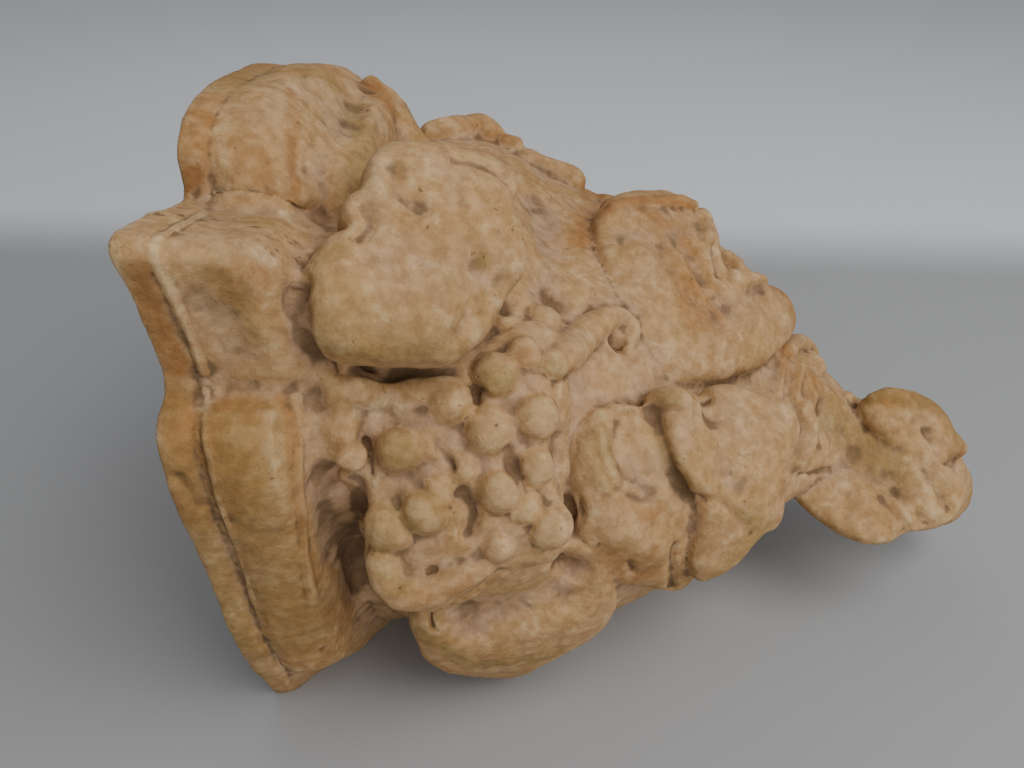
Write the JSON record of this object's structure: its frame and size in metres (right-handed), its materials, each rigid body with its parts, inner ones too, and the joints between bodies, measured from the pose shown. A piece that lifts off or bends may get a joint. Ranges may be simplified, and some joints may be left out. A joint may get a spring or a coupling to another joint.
{
  "type": "terracotta wall corbel ornament",
  "caption": "Fired-clay wall corbel: moulded cap with bowed sides and corner blocks, tapering body of vine leaves, grapes and a tendril, flat back for a wall.",
  "frame": {"origin": "middle of the flat wall seat on the corbel's back", "axes": "+X along the length from the flat bearing end of the cap to the tip of the tail leaf, which points down when built in; +Z out of the wall; -Y the side with the clearest carving"},
  "size_m": [0.4123, 0.3927, 0.3179],
  "materials": {
    "fired_clay": "unglazed fired clay, matt, dusty in the hollows"
  },
  "bodies": {
    "root": {"corbel": "fired_clay"}
  },
  "joints": []
}
